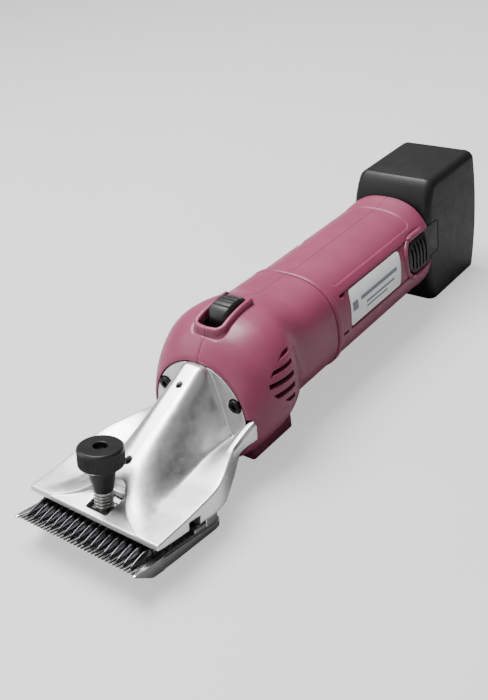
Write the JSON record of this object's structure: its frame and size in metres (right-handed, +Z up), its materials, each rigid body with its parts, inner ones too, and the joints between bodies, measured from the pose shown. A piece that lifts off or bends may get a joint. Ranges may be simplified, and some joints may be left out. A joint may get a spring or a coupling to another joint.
{
  "type": "cordless sheep shears",
  "caption": "Hand-held cordless shearing clipper: cast head with comb and oscillating cutter, tension knob, thumb slide switch and a slide-on battery.",
  "frame": {"origin": "centre of the underside of the rest foot, on the plane the shears rest on", "axes": "+Y along the body from the blades to the battery, +Z up from the rest plane, +X across the body"},
  "size_m": [0.0804, 0.3361, 0.08],
  "materials": {
    "casing_plastic": "satin dark rose moulded plastic with a fine grain",
    "cast_aluminium": "satin bead-blasted casting",
    "blade_steel": "ground",
    "cutter_steel": "dark tempered, ground facets",
    "plain_steel": "machined",
    "black_steel": "black oxide",
    "black_plastic": "satin",
    "battery_plastic": "fine grained",
    "label_film": "smooth film",
    "brass": "machined",
    "cell_wrap": null,
    "red_insulation": "soft insulation"
  },
  "bodies": {
    "grip": {"casing_right": "casing_plastic", "casing_left": "casing_plastic", "casing_screw_1": "black_steel", "casing_screw_2": "black_steel", "casing_screw_3": "black_steel", "casing_screw_4": "black_steel", "label_right": "label_film", "label_left": "label_film", "head_casting": "cast_aluminium", "head_screw_left": "black_steel", "head_screw_right": "black_steel", "comb_blade": "blade_steel", "comb_screw_left": "plain_steel", "comb_screw_right": "plain_steel", "lever_pivot_pin": "black_steel", "tension_yoke": "plain_steel", "tension_bolt": "plain_steel", "gear_case_plate": "cast_aluminium", "motor_mount_plate": "cast_aluminium", "crank_bearing_front": "plain_steel", "crank_bearing_rear": "plain_steel", "switch_body": "black_plastic", "motor_can": "plain_steel", "motor_end_cap": "black_plastic", "contact_block": "black_plastic", "motor_lead_red": "red_insulation", "motor_lead_black": "black_plastic"},
    "lever": {"drive_lever": "plain_steel", "cutter_blade": "cutter_steel"},
    "tension_sleeve": {"tension_washer": "plain_steel", "tension_spring": "plain_steel"},
    "tension_knob": {"tension_nut": "black_plastic"},
    "motor_rotor": {"motor_shaft": "plain_steel", "motor_pinion": "plain_steel", "cooling_fan": "black_plastic", "motor_armature": "plain_steel"},
    "crank": {"crank_shaft": "plain_steel", "crank_gear": "brass"},
    "roller": {"crank_roller": "plain_steel"},
    "switch": {"switch_slider": "black_plastic"},
    "battery": {"battery_shell": "battery_plastic", "battery_cover": "battery_plastic", "battery_cell_1": "cell_wrap", "battery_cell_2": "cell_wrap", "battery_cell_3": "cell_wrap", "battery_cell_4": "cell_wrap", "battery_cell_5": "cell_wrap", "battery_cell_6": "cell_wrap", "battery_terminal_left": "brass", "battery_terminal_right": "brass", "latch_spring_left": "plain_steel", "latch_spring_right": "plain_steel"},
    "latch_left": {"latch_left": "battery_plastic"},
    "latch_right": {"latch_right": "battery_plastic"}
  },
  "joints": [
    {"name": "motor_spin", "type": "hinge", "parent": "grip", "child": "motor_rotor", "pos_m": [0, -0.014, 0.04375], "axis": [0, 1, 0], "continuous": true},
    {"name": "crank_spin", "type": "hinge", "parent": "grip", "child": "crank", "pos_m": [0, -0.014, 0.027], "axis": [0, 1, 0], "continuous": true},
    {"name": "roller_spin", "type": "hinge", "parent": "crank", "child": "roller", "pos_m": [0, -0.014, 0.0296], "axis": [0, 1, 0], "continuous": true},
    {"name": "lever_swing", "type": "hinge", "parent": "grip", "child": "lever", "pos_m": [0, -0.08221, 0.01037], "axis": [0, 0.1822, 0.9833], "range_deg": [-3.75, 3.75]},
    {"name": "tension_travel", "type": "slide", "parent": "grip", "child": "tension_sleeve", "axis": [0, -0.1822, -0.9833], "range_m": [0, 0.003], "deforming": ["tension_spring"]},
    {"name": "tension_nut_turn", "type": "hinge", "parent": "tension_sleeve", "child": "tension_knob", "pos_m": [0, -0.09814, 0.01332], "axis": [0, 0.1822, 0.9833], "range_deg": [0, 1080]},
    {"name": "switch_slide", "type": "slide", "parent": "grip", "child": "switch", "axis": [0, -1, 0], "range_m": [0, 0.005]},
    {"name": "battery_release", "type": "slide", "parent": "grip", "child": "battery", "axis": [0, 1, 0], "range_m": [0, 0.055]},
    {"name": "latch_left_press", "type": "slide", "parent": "battery", "child": "latch_left", "axis": [1, 0, 0], "range_m": [0, 0.002]},
    {"name": "latch_right_press", "type": "slide", "parent": "battery", "child": "latch_right", "axis": [-1, 0, 0], "range_m": [0, 0.002]}
  ],
  "couplings": [
    {"joint": "crank_spin", "follows": "motor_spin", "ratio": -0.33333},
    {"joint": "tension_nut_turn", "follows": "tension_travel", "rad_per_m": 6283.2}
  ]
}
